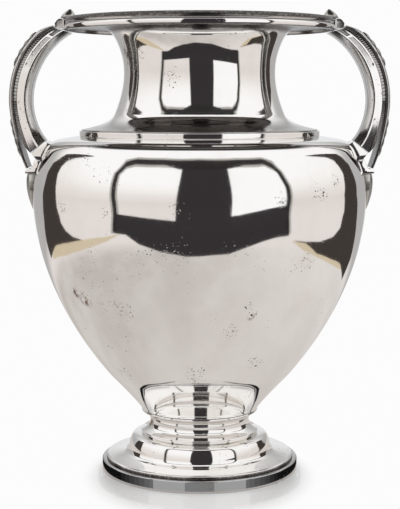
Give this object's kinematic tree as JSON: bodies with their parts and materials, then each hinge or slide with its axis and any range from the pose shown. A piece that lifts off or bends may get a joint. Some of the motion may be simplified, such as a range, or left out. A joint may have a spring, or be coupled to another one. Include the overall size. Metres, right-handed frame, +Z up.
{
  "type": "amphora vase",
  "caption": "Footed amphora vase of polished silver: round foot, waisted stem, full-bellied bowl, flared neck with a moulded rim, and strap handles from rim to shoulder.",
  "frame": {"origin": "centre of the flat face under the foot band, on the surface the vase stands on", "axes": "+Z up along the turning axis, X through both handles, front of the vase towards -Y"},
  "size_m": [0.267, 0.2344, 0.3265],
  "materials": {
    "polished_silver": "mirror-polished sheet silver with pits, faint stains and fine rubbing scratches",
    "foot_band_silver": "mirror-polished drawn silver strip with small knocks along its edges",
    "cast_silver": "polished cast silver with tarnish along its grooves",
    "chased_silver": "chased cast leaves, bright on the ridges and dark in the recesses"
  },
  "bodies": {
    "root": {"foot_band": "foot_band_silver", "foot": "polished_silver", "stem": "polished_silver", "bowl": "polished_silver", "shoulder_ring": "polished_silver", "neck": "polished_silver", "rim_moulding": "polished_silver", "handle_bar_right": "cast_silver", "handle_strap_right": "cast_silver", "upper_foliage_right": "chased_silver", "lower_foliage_right": "chased_silver", "rim_clasp_right": "cast_silver", "rim_leaf_right": "chased_silver", "shoulder_block_right": "cast_silver", "scroll_bracket_right": "cast_silver", "leaf_drop_right": "chased_silver", "handle_bar_left": "cast_silver", "handle_strap_left": "cast_silver", "upper_foliage_left": "chased_silver", "lower_foliage_left": "chased_silver", "rim_clasp_left": "cast_silver", "rim_leaf_left": "chased_silver", "shoulder_block_left": "cast_silver", "scroll_bracket_left": "cast_silver", "leaf_drop_left": "chased_silver"}
  },
  "joints": []
}
